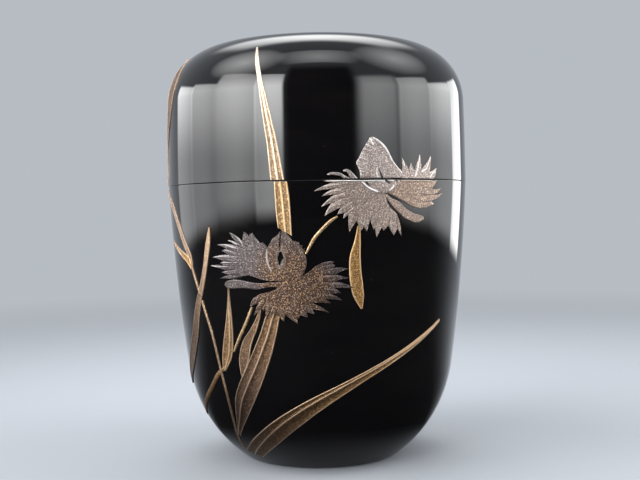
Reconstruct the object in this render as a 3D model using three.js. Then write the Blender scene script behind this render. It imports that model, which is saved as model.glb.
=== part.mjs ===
// A long natsume, the lidded caddy that holds powdered tea: a turned body, a deep lid that slides
// down over the lip of the body, and a sprinkled-metal drawing of two egret orchids among grass.
// Millimetres, +Z up, the origin under the middle of the foot, the front facing -Y.
import * as THREE from 'three';

// The body of the caddy
const joint_radius = 30;
const body_height = 54.2;
const side_arc_radius = 377;
const side_arc_rise = 16.6;
const belly_radius = 27.3;
const foot_radius = 15.7;
const foot_ring_width = 3.1;
const foot_recess = 0.6;
const body_wall = 3.3;
const floor_height = 4;
const lip_height = 9;
const lip_rounding = 0.4;

// The lid
const lid_height = 29;
const lid_side_radius = 579;
const corner_radius = 11.4;
const crown_radius = 120;
const crown_thickness = 2.6;
const lid_wall = 1.8;
const lid_clearance = 0.15;
const bore_chamfer = 0.3;
const seam_rounding = 0.25;

// The raised metal drawing: a thin layer that lies on the lacquer
const powder_clearance = 0.08;
const powder_thickness = 0.18;
const rib_rise = 0.12;
const stem_width = 0.62;
const side_leaf_width = 1.05;

// How finely the round forms are cut into flats
const turns = 72;
const side_steps = 5;
const belly_steps = 9;
const corner_steps = 7;
const crown_steps = 4;
const rounding_steps = 2;
const longest_flat = 2;
const edge_flat = 1.9;

const quarter_turn = Math.PI / 2;
const lid_top = body_height + lid_height;
const lip_top = body_height + lip_height;
const bore_radius = joint_radius - lid_wall;
const lip_radius = bore_radius - lid_clearance;

// Profile geometry: every round of the caddy is an arc in the plane of radius and height
function arc(centre, radius, from, to) {
  return { centre, radius, from, to, length: radius * Math.abs(to - from) };
}

function angle_to(centre, point) {
  return Math.atan2(point.y - centre.y, point.x - centre.x);
}

function on_arc(piece, angle, height = 0) {
  const reach = piece.radius + height;
  return new THREE.Vector2(
    piece.centre.x + reach * Math.cos(angle),
    piece.centre.y + reach * Math.sin(angle),
  );
}

function arc_points(piece, steps) {
  const points = [];
  for (let step = 0; step <= steps; step += 1) {
    points.push(on_arc(piece, THREE.MathUtils.lerp(piece.from, piece.to, step / steps)));
  }
  return points;
}

function reversed(piece) {
  return arc(piece.centre, piece.radius, piece.to, piece.from);
}

// The outermost point that lies at one distance from one centre and at another from a second
function outer_meeting(centre_a, reach_a, centre_b, reach_b) {
  const between = centre_b.clone().sub(centre_a);
  const span = between.length();
  const along = (reach_a ** 2 - reach_b ** 2 + span ** 2) / (2 * span);
  const aside = Math.sqrt(reach_a ** 2 - along ** 2);
  const unit = between.normalize();
  const foot = centre_a.clone().addScaledVector(unit, along);
  const square = new THREE.Vector2(-unit.y, unit.x);
  const one = foot.clone().addScaledVector(square, aside);
  const other = foot.clone().addScaledVector(square, -aside);
  return one.x + one.y > other.x + other.y ? one : other;
}

// The body's outside runs down from the joint: a slack side arc, then the round of the belly
const joint_edge = new THREE.Vector2(joint_radius, body_height);
const foot_edge = new THREE.Vector2(foot_radius, 0);
const side_centre = new THREE.Vector2(
  joint_radius - Math.sqrt(side_arc_radius ** 2 - side_arc_rise ** 2),
  body_height + side_arc_rise,
);
const belly_centre = outer_meeting(side_centre, side_arc_radius - belly_radius, foot_edge, belly_radius);
const belly_turn = angle_to(side_centre, belly_centre);
const body_side = arc(side_centre, side_arc_radius, angle_to(side_centre, joint_edge), belly_turn);
const body_belly = arc(belly_centre, belly_radius, belly_turn, angle_to(belly_centre, foot_edge));
const body_outside = [body_side, body_belly];

// The lid's outside runs up from the joint: an almost straight side, the shoulder, the low crown
const lid_side_centre = new THREE.Vector2(joint_radius - lid_side_radius, body_height);
const crown_centre = new THREE.Vector2(0, lid_top - crown_radius);
const corner_centre = outer_meeting(
  lid_side_centre,
  lid_side_radius - corner_radius,
  crown_centre,
  crown_radius - corner_radius,
);
const corner_start = angle_to(lid_side_centre, corner_centre);
const crown_start = angle_to(crown_centre, corner_centre);
const lid_side = arc(lid_side_centre, lid_side_radius, 0, corner_start);
const lid_corner = arc(corner_centre, corner_radius, corner_start, crown_start);
const lid_crown = arc(crown_centre, crown_radius, crown_start, quarter_turn);
const lid_outside = [lid_side, lid_corner, lid_crown];

function turned(profile) {
  const form = new THREE.LatheGeometry(profile, turns);
  form.rotateX(quarter_turn);
  return form;
}

function rounded_edge(centre_x, centre_y, from, to) {
  return arc_points(arc(new THREE.Vector2(centre_x, centre_y), lip_rounding, from, to), rounding_steps);
}

// The body is turned hollow from one block, with a standing lip that the lid slides over. Its side
// stops just short of the joint, where the edge is eased
function body_form() {
  const inside_radius = side_arc_radius - body_wall;
  const well_turn = Math.asin((body_height - side_centre.y) / inside_radius);
  const side_inside = arc(side_centre, inside_radius, well_turn, belly_turn);
  const well_radius = on_arc(side_inside, well_turn).x;
  const belly_inside_radius = belly_radius - body_wall;
  const floor_turn = Math.asin((floor_height - belly_centre.y) / belly_inside_radius);
  const belly_inside = arc(belly_centre, belly_inside_radius, belly_turn, floor_turn);
  const seam_turn = body_side.from - seam_rounding / side_arc_radius;
  const side_below_seam = arc(side_centre, side_arc_radius, belly_turn, seam_turn);
  const rounding_level = lip_top - lip_rounding;
  const ring_inner = foot_radius - foot_ring_width;
  return turned([
    new THREE.Vector2(0, foot_recess),
    new THREE.Vector2(ring_inner - foot_recess, foot_recess),
    new THREE.Vector2(ring_inner, 0),
    ...arc_points(reversed(body_belly), belly_steps),
    ...arc_points(side_below_seam, side_steps).slice(1),
    new THREE.Vector2(joint_radius - seam_rounding, body_height),
    new THREE.Vector2(lip_radius, body_height),
    ...rounded_edge(lip_radius - lip_rounding, rounding_level, 0, quarter_turn),
    ...rounded_edge(well_radius + lip_rounding, rounding_level, quarter_turn, Math.PI),
    ...arc_points(side_inside, side_steps),
    ...arc_points(belly_inside, belly_steps).slice(1),
    new THREE.Vector2(0, floor_height),
  ]);
}

// The lid is turned hollow too: its bore is straight, so that it slides, and its ceiling is low-domed
function lid_form() {
  const ceiling_radius = crown_radius - crown_thickness;
  const hollow_radius = corner_radius - lid_wall;
  const hollow_reach = ceiling_radius - hollow_radius;
  const hollow_x = bore_radius - hollow_radius;
  const hollow_turn = Math.acos(hollow_x / hollow_reach);
  const hollow_centre = new THREE.Vector2(hollow_x, crown_centre.y + hollow_reach * Math.sin(hollow_turn));
  const ceiling = arc(crown_centre, ceiling_radius, quarter_turn, hollow_turn);
  const hollow_corner = arc(hollow_centre, hollow_radius, hollow_turn, 0);
  const seam_turn = seam_rounding / lid_side_radius;
  const side_above_seam = arc(lid_side_centre, lid_side_radius, seam_turn, corner_start);
  return turned([
    new THREE.Vector2(0, lid_top - crown_thickness),
    ...arc_points(ceiling, crown_steps).slice(1),
    ...arc_points(hollow_corner, corner_steps).slice(1),
    new THREE.Vector2(bore_radius, body_height + bore_chamfer),
    new THREE.Vector2(bore_radius + bore_chamfer, body_height),
    new THREE.Vector2(joint_radius - seam_rounding, body_height),
    ...arc_points(side_above_seam, side_steps),
    ...arc_points(lid_corner, corner_steps).slice(1),
    ...arc_points(lid_crown, crown_steps).slice(1, -1),
    new THREE.Vector2(0, lid_top),
  ]);
}

// A place on the outside, from shares: round from the front, as a share of a quarter turn to the
// right, and away from the joint, as a share of the way to the foot or to the middle of the crown
function place(outside, share, height) {
  let travel = share.y * outside_length(outside);
  let piece = outside[0];
  for (const next of outside.slice(1)) {
    if (travel > piece.length) {
      travel -= piece.length;
      piece = next;
    }
  }
  const angle = piece.from + Math.sign(piece.to - piece.from) * (travel / piece.radius);
  const spot = on_arc(piece, angle, height);
  const turn = share.x * quarter_turn;
  return new THREE.Vector3(spot.x * Math.sin(turn), -spot.x * Math.cos(turn), spot.y);
}

// The size of the whole drawing sheet: a quarter turn wide, and from the joint to the end
function sheet_size(outside) {
  return new THREE.Vector2(joint_radius * quarter_turn, outside_length(outside));
}

function outside_length(outside) {
  return outside.reduce((sum, piece) => sum + piece.length, 0);
}

// A drawn line is a smooth run of points in shares, with more of them along a longer line
function smooth(shares, steps) {
  return new THREE.SplineCurve(shares.map((share) => new THREE.Vector2(...share))).getPoints(steps);
}

function steps_along(outside, shares) {
  const spots = shares.map((share) => new THREE.Vector2(...share).multiply(sheet_size(outside)));
  const hops = spots.slice(1).map((spot, index) => spot.distanceTo(spots[index]));
  return Math.ceil(hops.reduce((sum, hop) => sum + hop, 0) / edge_flat);
}

// An even number of rows between two edges, so that no flat is long enough to cut into the round
function rows_between(outside, near_edge, far_edge) {
  const sheet = sheet_size(outside);
  const spans = near_edge.map((share, index) => far_edge[index].clone().sub(share).multiply(sheet).length());
  return 2 * Math.ceil(Math.max(...spans) / (2 * longest_flat));
}

// The way round the border of a grid of points, in order
function border(rows, columns) {
  const spots = [];
  for (let column = 0; column < columns; column += 1) {
    spots.push(column);
  }
  for (let row = 1; row <= rows; row += 1) {
    spots.push(row * columns + columns - 1);
  }
  for (let column = columns - 2; column >= 0; column -= 1) {
    spots.push(rows * columns + column);
  }
  for (let row = rows - 1; row > 0; row -= 1) {
    spots.push(row * columns);
  }
  return spots;
}

// The faces of a slab: one grid below, the same grid above, and the border closed between them
function slab_faces(rows, columns) {
  const layer = (rows + 1) * columns;
  const faces = [];
  const square = (a, b, c, d) => faces.push([a, b, c], [a, c, d]);
  for (let row = 0; row < rows; row += 1) {
    for (let column = 0; column + 1 < columns; column += 1) {
      const corner = row * columns + column;
      const across = corner + columns;
      square(corner, across, across + 1, corner + 1);
      square(layer + corner, layer + corner + 1, layer + across + 1, layer + across);
    }
  }
  const rim = border(rows, columns);
  rim.forEach((spot, index) => {
    const next = rim[(index + 1) % rim.length];
    square(spot, next, layer + next, layer + spot);
  });
  return faces;
}

// A raised figure fills the strip between two edges of as many points: a thin curved slab on the
// lacquer, that may swell into a rib along its middle
function figure(outside, near_edge, far_edge, rib = 0) {
  const rows = rows_between(outside, near_edge, far_edge);
  const columns = near_edge.length;
  const shares = [];
  const heights = [];
  for (let row = 0; row <= rows; row += 1) {
    const across = row / rows;
    const ridge = rib * (1 - Math.abs(2 * across - 1));
    near_edge.forEach((share, column) => {
      shares.push(share.clone().lerp(far_edge[column], across));
      heights.push(powder_clearance + powder_thickness + ridge);
    });
  }
  const under = shares.map((share) => place(outside, share, powder_clearance));
  const over = shares.map((share, index) => place(outside, share, heights[index]));
  const outline = border(rows, columns).map((spot) => shares[spot]);
  const in_order = THREE.ShapeUtils.isClockWise(outline) !== (outside === lid_outside);
  const faces = slab_faces(rows, columns);
  const form = new THREE.BufferGeometry().setFromPoints([...under, ...over]);
  form.setIndex(faces.flatMap((face) => (in_order ? face : face.toReversed())));
  return form;
}

// A form is drawn by its two long edges. A blade or leaf has a rib too
function between(outside, left_shares, right_shares, rib = 0) {
  const steps = Math.max(steps_along(outside, left_shares), steps_along(outside, right_shares));
  return figure(outside, smooth(left_shares, steps), smooth(right_shares, steps), rib);
}

function leaf(outside, left_shares, right_shares) {
  return between(outside, left_shares, right_shares, rib_rise);
}

// A stem is drawn by its middle line and its width
function stem(outside, middle_shares, width) {
  const sheet = sheet_size(outside);
  const middle = smooth(middle_shares, steps_along(outside, middle_shares));
  const edge = (side) => middle.map((share, index) => {
    const before = middle[Math.max(index - 1, 0)];
    const after = middle[Math.min(index + 1, middle.length - 1)];
    const heading = after.clone().sub(before).multiply(sheet).normalize();
    const square = new THREE.Vector2(-heading.y, heading.x).multiplyScalar(side * width / 2);
    return share.clone().add(square.divide(sheet));
  });
  return figure(outside, edge(-1), edge(1));
}

// A fringed petal spreads from its base to a root line. From there its teeth run on, away from one
// point, each by its own share of the way it has come
function petal(outside, base_shares, root_shares, fan_share, reach_shares) {
  const steps = 2 * reach_shares.length;
  const fringe = smooth(root_shares, steps);
  const fan = new THREE.Vector2(...fan_share);
  reach_shares.forEach((reach, index) => {
    const tooth = fringe[2 * index + 1];
    tooth.addScaledVector(tooth.clone().sub(fan), reach);
  });
  return figure(outside, smooth(base_shares, steps), fringe);
}

// Finishes
function black_lacquer() {
  return new THREE.MeshStandardMaterial({ color: '#0c0c10', roughness: 0.08 });
}

function bronze_powder() {
  return new THREE.MeshStandardMaterial({ color: '#a1794a', roughness: 0.45, metalness: 0.9 });
}

function gold_line() {
  return new THREE.MeshStandardMaterial({ color: '#e0b67c', roughness: 0.35, metalness: 0.9 });
}

function silver_powder() {
  return new THREE.MeshStandardMaterial({ color: '#a89c98', roughness: 0.5, metalness: 0.8 });
}

const caddy = new THREE.Group();

function add(name, form, finish) {
  const piece = new THREE.Mesh(form, finish);
  piece.name = name;
  caddy.add(piece);
}

// The two turned pieces
add('body_vessel', body_form(), black_lacquer());
add('lid_shell', lid_form(), black_lacquer());

// The drawing on the lid. Each point below is [share of a quarter turn, share of the way up]
function lid_drawing() {
  const tall_left_shares = [
    [-0.175, 0.008], [-0.186, 0.115], [-0.197, 0.183], [-0.21, 0.266],
    [-0.222, 0.34], [-0.245, 0.43], [-0.262, 0.52],
  ];
  const tall_right_shares = [
    [-0.123, 0.008], [-0.144, 0.115], [-0.16, 0.183], [-0.182, 0.266],
    [-0.203, 0.34], [-0.227, 0.43], [-0.257, 0.52],
  ];
  add('lid_tall_blade', leaf(lid_outside, tall_left_shares, tall_right_shares), bronze_powder());

  const edge_left_shares = [
    [-0.93, 0.008], [-0.955, 0.14], [-0.95, 0.25], [-0.93, 0.34],
    [-0.895, 0.41], [-0.85, 0.46], [-0.815, 0.5],
  ];
  const edge_right_shares = [
    [-0.9, 0.008], [-0.86, 0.14], [-0.785, 0.25], [-0.73, 0.34],
    [-0.72, 0.4], [-0.755, 0.455], [-0.8, 0.5],
  ];
  add('lid_edge_leaf', leaf(lid_outside, edge_left_shares, edge_right_shares), bronze_powder());

  const hood_base_shares = [[0.16, 0.006], [0.215, 0.006], [0.275, 0.006], [0.33, 0.006]];
  const hood_top_shares = [
    [0.153, 0.022], [0.15, 0.053], [0.185, 0.107], [0.214, 0.14],
    [0.259, 0.12], [0.283, 0.08], [0.308, 0.048], [0.332, 0.022],
  ];
  add('lid_flower_hood', between(lid_outside, hood_base_shares, hood_top_shares), silver_powder());

  const wing_fan_share = [0.362, -0.017];
  const wing_base_shares = [[0.345, 0.006], [0.39, 0.006], [0.44, 0.006], [0.494, 0.006]];
  const wing_root_shares = [[0.345, 0.019], [0.387, 0.021], [0.461, 0.025], [0.496, 0.009]];
  const wing_reach_shares = [0.8, 1, 0.93, 0.72, 0.38, 0.09];
  const wing = petal(lid_outside, wing_base_shares, wing_root_shares, wing_fan_share, wing_reach_shares);
  add('lid_flower_wing', wing, silver_powder());

  const long_over_shares = [[0.045, 0.022], [0.07, 0.027], [0.095, 0.021], [0.115, 0.006]];
  const long_under_shares = [[0.046, 0.017], [0.07, 0.019], [0.088, 0.014], [0.1, 0.006]];
  add('lid_long_tooth', between(lid_outside, long_over_shares, long_under_shares), silver_powder());

  const short_over_shares = [[0.098, 0.033], [0.12, 0.032], [0.138, 0.026], [0.148, 0.006]];
  const short_under_shares = [[0.1, 0.027], [0.113, 0.023], [0.122, 0.015], [0.125, 0.006]];
  add('lid_short_tooth', between(lid_outside, short_over_shares, short_under_shares), silver_powder());
}

// The grass on the body. Each point below is [share of a quarter turn, share of the way down]
function body_grass() {
  const tall_left_shares = [[-0.162, 0.006], [-0.16, 0.05], [-0.158, 0.095], [-0.153, 0.141]];
  const tall_right_shares = [[-0.112, 0.006], [-0.105, 0.05], [-0.102, 0.1], [-0.1, 0.159]];
  add('tall_blade', leaf(body_outside, tall_left_shares, tall_right_shares), bronze_powder());

  const sweep_over_shares = [
    [-0.53, 0.915], [-0.36, 0.825], [-0.2, 0.742], [-0.049, 0.676],
    [0.124, 0.615], [0.304, 0.554], [0.46, 0.498], [0.59, 0.45],
  ];
  const sweep_under_shares = [
    [-0.42, 0.943], [-0.265, 0.867], [-0.115, 0.78], [0.02, 0.703],
    [0.169, 0.632], [0.32, 0.572], [0.47, 0.512], [0.593, 0.457],
  ];
  add('sweeping_blade', leaf(body_outside, sweep_over_shares, sweep_under_shares), bronze_powder());

  const short_left_shares = [
    [-0.495, 0.83], [-0.448, 0.76], [-0.416, 0.686], [-0.374, 0.629],
    [-0.33, 0.578], [-0.285, 0.518], [-0.249, 0.466], [-0.22, 0.43],
  ];
  const short_right_shares = [
    [-0.482, 0.838], [-0.386, 0.765], [-0.317, 0.7], [-0.267, 0.639],
    [-0.235, 0.59], [-0.205, 0.535], [-0.182, 0.48], [-0.166, 0.43],
  ];
  add('short_blade', leaf(body_outside, short_left_shares, short_right_shares), bronze_powder());

  const hanging_left_shares = [
    [0.147, 0.155], [0.134, 0.187], [0.12, 0.231], [0.117, 0.274],
    [0.122, 0.317], [0.135, 0.357], [0.165, 0.394],
  ];
  const hanging_right_shares = [
    [0.158, 0.155], [0.162, 0.187], [0.162, 0.231], [0.165, 0.274],
    [0.172, 0.317], [0.177, 0.357], [0.172, 0.394],
  ];
  add('hanging_leaf', leaf(body_outside, hanging_left_shares, hanging_right_shares), bronze_powder());

  const bud_left_shares = [
    [-0.262, 0.404], [-0.282, 0.439], [-0.326, 0.494], [-0.356, 0.537], [-0.368, 0.582],
  ];
  const bud_right_shares = [
    [-0.247, 0.404], [-0.253, 0.439], [-0.286, 0.494], [-0.314, 0.545], [-0.346, 0.586],
  ];
  add('slender_bud', leaf(body_outside, bud_left_shares, bud_right_shares), bronze_powder());

  const spindle_left_shares = [
    [-0.387, 0.34], [-0.396, 0.37], [-0.414, 0.43], [-0.435, 0.485], [-0.457, 0.545], [-0.465, 0.594],
  ];
  const spindle_right_shares = [
    [-0.38, 0.34], [-0.382, 0.37], [-0.381, 0.43], [-0.386, 0.5], [-0.405, 0.555], [-0.448, 0.597],
  ];
  add('spindle_leaf', leaf(body_outside, spindle_left_shares, spindle_right_shares), bronze_powder());

  const narrow_left_shares = [
    [-0.466, 0.142], [-0.494, 0.21], [-0.529, 0.291], [-0.57, 0.354], [-0.645, 0.434],
    [-0.712, 0.499], [-0.78, 0.573], [-0.843, 0.65], [-0.895, 0.73],
  ];
  const narrow_right_shares = [
    [-0.452, 0.142], [-0.47, 0.21], [-0.503, 0.285], [-0.545, 0.353], [-0.593, 0.431],
    [-0.636, 0.494], [-0.69, 0.567], [-0.76, 0.643], [-0.84, 0.73],
  ];
  add('narrow_leaf', leaf(body_outside, narrow_left_shares, narrow_right_shares), bronze_powder());

  const far_left_shares = [[-0.84, 0.012], [-0.75, 0.085], [-0.7, 0.145], [-0.66, 0.2], [-0.628, 0.234]];
  const far_right_shares = [
    [-0.808, 0.008], [-0.717, 0.085], [-0.671, 0.145], [-0.635, 0.2], [-0.608, 0.236],
  ];
  add('far_leaf', leaf(body_outside, far_left_shares, far_right_shares), bronze_powder());

  const offshoot_left_shares = [[-0.648, 0.25], [-0.705, 0.226], [-0.775, 0.202], [-0.822, 0.182]];
  const offshoot_right_shares = [[-0.632, 0.244], [-0.685, 0.21], [-0.748, 0.186], [-0.812, 0.172]];
  add('offshoot_leaf', leaf(body_outside, offshoot_left_shares, offshoot_right_shares), bronze_powder());
}

function body_stems() {
  const flower_middle_shares = [
    [-0.041, 0.212], [-0.016, 0.177], [0.016, 0.148], [0.045, 0.126], [0.071, 0.112],
  ];
  add('flower_stem', stem(body_outside, flower_middle_shares, stem_width), gold_line());

  const bud_middle_shares = [[-0.275, 0.398], [-0.298, 0.427], [-0.334, 0.474], [-0.37, 0.522]];
  add('bud_stem', stem(body_outside, bud_middle_shares, stem_width), gold_line());

  const long_middle_shares = [
    [-0.544, 0.905], [-0.516, 0.85], [-0.476, 0.768], [-0.465, 0.68],
    [-0.48, 0.598], [-0.508, 0.485], [-0.536, 0.421], [-0.551, 0.39],
  ];
  add('long_stem', stem(body_outside, long_middle_shares, stem_width), gold_line());

  const branch_middle_shares = [[-0.566, 0.322], [-0.583, 0.29], [-0.61, 0.252]];
  add('branch_stem', stem(body_outside, branch_middle_shares, stem_width), gold_line());

  const side_middle_shares = [
    [-0.498, 0.61], [-0.568, 0.66], [-0.645, 0.704], [-0.735, 0.752], [-0.79, 0.785],
  ];
  add('side_leaf', stem(body_outside, side_middle_shares, side_leaf_width), bronze_powder());
}

// The lower orchid: a hood with a wing each side, a narrow finger and a fringed skirt
function lower_orchid() {
  const hood_left_shares = [
    [-0.143, 0.155], [-0.168, 0.178], [-0.19, 0.203], [-0.197, 0.23], [-0.19, 0.259], [-0.166, 0.29],
  ];
  const hood_right_shares = [
    [-0.134, 0.154], [-0.088, 0.181], [-0.06, 0.207], [-0.046, 0.234], [-0.051, 0.262], [-0.078, 0.298],
  ];
  add('lower_orchid_hood', between(body_outside, hood_left_shares, hood_right_shares), silver_powder());

  const left_fan_share = [-0.206, 0.233];
  const left_base_shares = [[-0.207, 0.212], [-0.209, 0.232], [-0.204, 0.257], [-0.18, 0.29]];
  const left_root_shares = [
    [-0.214, 0.203], [-0.278, 0.17], [-0.333, 0.179], [-0.371, 0.204],
    [-0.383, 0.237], [-0.4, 0.27], [-0.311, 0.292],
  ];
  const left_reach_shares = [0.25, 0.19, 0.13, 0.38, 0.18, 0.37, 0.17, 0.42, 0.14, 0.28, 0.12, 0.2];
  const left = petal(body_outside, left_base_shares, left_root_shares, left_fan_share, left_reach_shares);
  add('lower_orchid_left_wing', left, silver_powder());

  const finger_over_shares = [
    [-0.172, 0.303], [-0.237, 0.313], [-0.281, 0.311], [-0.327, 0.303], [-0.366, 0.301], [-0.394, 0.308],
  ];
  const finger_under_shares = [
    [-0.167, 0.316], [-0.238, 0.325], [-0.281, 0.329], [-0.327, 0.33], [-0.368, 0.331], [-0.396, 0.32],
  ];
  add('lower_orchid_finger', between(body_outside, finger_over_shares, finger_under_shares), silver_powder());

  const skirt_fan_share = [-0.13, 0.325];
  const skirt_base_shares = [[-0.167, 0.33], [-0.135, 0.335], [-0.1, 0.338], [-0.072, 0.34]];
  const skirt_root_shares = [
    [-0.267, 0.354], [-0.235, 0.389], [-0.139, 0.406], [-0.087, 0.41], [-0.054, 0.396], [-0.042, 0.375],
  ];
  const skirt_reach_shares = [0.19, 0.1, 0.16, 0.21, 0.11, 0.23, 0.18, 0.22, 0.5, 0.12];
  const skirt = petal(
    body_outside, skirt_base_shares, skirt_root_shares, skirt_fan_share, skirt_reach_shares,
  );
  add('lower_orchid_skirt', skirt, silver_powder());

  const right_fan_share = [-0.063, 0.316];
  const right_base_shares = [[-0.064, 0.3], [-0.062, 0.313], [-0.058, 0.326], [-0.05, 0.34]];
  const right_root_shares = [[-0.03, 0.265], [0.055, 0.258], [0.062, 0.312], [0.049, 0.347], [-0.03, 0.367]];
  const right_reach_shares = [0.1, 0.16, 0.34, 0.36, 0.36, 0.18, 0.4, 0.2];
  const right = petal(
    body_outside, right_base_shares, right_root_shares, right_fan_share, right_reach_shares,
  );
  add('lower_orchid_right_wing', right, silver_powder());
}

// The upper orchid crosses the joint, so this is only what lies on the body
function upper_orchid() {
  const hood_over_shares = [[0.17, 0.006], [0.22, 0.006], [0.27, 0.006], [0.322, 0.006]];
  const hood_under_shares = [[0.176, 0.015], [0.205, 0.031], [0.245, 0.04], [0.285, 0.032], [0.317, 0.013]];
  add('upper_orchid_hood', between(body_outside, hood_over_shares, hood_under_shares), silver_powder());

  const left_fan_share = [0.183, 0.021];
  const left_base_shares = [[0.157, 0.006], [0.163, 0.02], [0.178, 0.033], [0.2, 0.044]];
  const left_root_shares = [[0.095, 0.008], [0.069, 0.044], [0.075, 0.083], [0.118, 0.101]];
  const left_reach_shares = [0.9, 0.53, 0.48, 0.4, 0.1, 0.1];
  const left = petal(body_outside, left_base_shares, left_root_shares, left_fan_share, left_reach_shares);
  add('upper_orchid_left_wing', left, silver_powder());

  const skirt_fan_share = [0.223, 0.033];
  const skirt_base_shares = [[0.208, 0.05], [0.235, 0.055], [0.262, 0.064], [0.277, 0.08]];
  const skirt_root_shares = [[0.128, 0.109], [0.199, 0.12], [0.283, 0.143], [0.318, 0.116]];
  const skirt_reach_shares = [0.34, 0.24, 0.3, 0.1, 0.2, 0.36];
  const skirt = petal(
    body_outside, skirt_base_shares, skirt_root_shares, skirt_fan_share, skirt_reach_shares,
  );
  add('upper_orchid_skirt', skirt, silver_powder());

  const finger_over_shares = [[0.303, 0.07], [0.33, 0.08], [0.355, 0.094], [0.392, 0.11], [0.44, 0.116]];
  const finger_under_shares = [[0.286, 0.081], [0.315, 0.104], [0.36, 0.124], [0.398, 0.133], [0.443, 0.126]];
  add('upper_orchid_finger', between(body_outside, finger_over_shares, finger_under_shares), silver_powder());

  const right_fan_share = [0.33, 0.021];
  const right_base_shares = [[0.335, 0.006], [0.318, 0.028], [0.306, 0.043], [0.303, 0.056]];
  const right_root_shares = [[0.484, 0.007], [0.501, 0.041], [0.482, 0.078], [0.379, 0.088], [0.335, 0.073]];
  const right_reach_shares = [0.26, 0.3, 0.31, 0.16, 0.2, 0.14, 0, 0];
  const right = petal(
    body_outside, right_base_shares, right_root_shares, right_fan_share, right_reach_shares,
  );
  add('upper_orchid_right_wing', right, silver_powder());
}

lid_drawing();
body_grass();
body_stems();
lower_orchid();
upper_orchid();

export default caddy;
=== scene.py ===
import math

import bmesh
import bpy
import numpy as np
from mathutils import Matrix, Vector


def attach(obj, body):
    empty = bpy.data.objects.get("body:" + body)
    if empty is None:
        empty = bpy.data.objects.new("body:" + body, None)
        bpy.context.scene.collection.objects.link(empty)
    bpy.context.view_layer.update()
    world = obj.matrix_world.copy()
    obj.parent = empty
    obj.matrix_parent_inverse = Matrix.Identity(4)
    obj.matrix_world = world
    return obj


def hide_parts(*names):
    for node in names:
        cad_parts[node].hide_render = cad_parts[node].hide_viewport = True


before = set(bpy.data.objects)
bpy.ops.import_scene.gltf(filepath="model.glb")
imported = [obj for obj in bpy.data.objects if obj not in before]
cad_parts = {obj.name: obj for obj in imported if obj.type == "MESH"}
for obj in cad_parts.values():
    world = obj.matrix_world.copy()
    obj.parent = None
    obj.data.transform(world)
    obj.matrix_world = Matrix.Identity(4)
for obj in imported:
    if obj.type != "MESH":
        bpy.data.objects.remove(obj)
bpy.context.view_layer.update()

# The camera
# A long lens close to the caddy, a little under the height of the joint, tipped down and rolled by
# about a degree, as the photograph was taken.
camera_distance = 0.195
camera_height = 0.0484
camera_lens = 53.55
camera_tip = math.radians(88.39)
camera_roll = math.radians(-1.05)
camera_turn = math.radians(-0.1)

camera_data = bpy.data.cameras.new("camera")
camera_data.lens = camera_lens
camera = bpy.data.objects.new("camera", camera_data)
camera.location = (0, -camera_distance, camera_height)
camera.rotation_euler = (
    Matrix.Rotation(camera_turn, 3, "Z") @ Matrix.Rotation(camera_tip, 3, "X") @ Matrix.Rotation(camera_roll, 3, "Z")
).to_euler()
bpy.context.collection.objects.link(camera)
bpy.context.scene.camera = camera
bpy.context.scene.view_settings.view_transform = "Standard"


# The table
# A wide flat sheet of pale grey-blue card. Away from the caddy it passes softly into the backdrop,
# which is the same pale colour on every side.
backdrop_colour = (0.475, 0.505, 0.55, 1)
card_colour = (0.455, 0.485, 0.53, 1)
fibres_per_metre = 900
tooth_depth = 0.0003
table_reach = 3.0
fade_start = 0.09
fade_end = 0.42


def link(name, mesh, *materials):
    for material in materials:
        mesh.materials.append(material)
    piece = bpy.data.objects.new(name, mesh)
    bpy.context.collection.objects.link(piece)
    return piece


def feed(tree, node, values):
    """Gives a node's sockets their values. A value is a number, a colour or another node's socket."""
    for label, value in values.items():
        if hasattr(value, "is_linked"):
            tree.links.new(value, node.inputs[label])
        else:
            node.inputs[label].default_value = value


def add(tree, kind, values=None, **settings):
    node = tree.nodes.new("ShaderNode" + kind)
    for name, setting in settings.items():
        setattr(node, name, setting)
    feed(tree, node, values or {})
    return node


def maths(tree, operation, *values):
    return add(tree, "Math", dict(enumerate(values)), operation=operation).outputs[0]


def spread(tree, value, low, high, to_low=0.0, to_high=1.0, curve="LINEAR"):
    """The value, with the range from low to high spread over another range and held at its ends."""
    ends = {"Value": value, "From Min": low, "From Max": high, "To Min": to_low, "To Max": to_high}
    return add(tree, "MapRange", ends, interpolation_type=curve).outputs[0]


def shader(name):
    material = bpy.data.materials.new(name)
    material.use_nodes = True
    return material, material.node_tree, material.node_tree.nodes["Principled BSDF"]


def seen_directly(tree):
    """1 where a ray comes from the camera, a mirror or a glass, and 0 for the light that surfaces scatter."""
    path = add(tree, "LightPath").outputs
    seen = maths(tree, "MAXIMUM", path["Is Camera Ray"], path["Is Glossy Ray"])
    return maths(tree, "MAXIMUM", seen, path["Is Transmission Ray"])


def pale_card():
    material, tree, surface = shader("pale_card")
    spot = add(tree, "TexCoord").outputs["Object"]
    fibres = add(tree, "TexNoise", {"Vector": spot, "Scale": fibres_per_metre, "Detail": 4}).outputs["Fac"]
    tooth = add(tree, "Bump", {"Strength": 0.12, "Distance": tooth_depth, "Height": fibres})
    feed(tree, surface, {
        "Base Color": card_colour, "Roughness": 0.85, "Specular IOR Level": 0.2, "Normal": tooth.outputs["Normal"],
    })
    reach = add(tree, "VectorMath", {0: spot}, operation="LENGTH").outputs["Value"]
    far = spread(tree, reach, fade_start, fade_end, curve="SMOOTHSTEP")
    backdrop = add(tree, "Emission", {"Color": backdrop_colour})
    share = maths(tree, "MULTIPLY", far, seen_directly(tree))
    blend = add(tree, "MixShader", {0: share, 1: surface.outputs[0], 2: backdrop.outputs[0]})
    feed(tree, tree.nodes["Material Output"], {"Surface": blend.outputs[0]})
    return material


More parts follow.
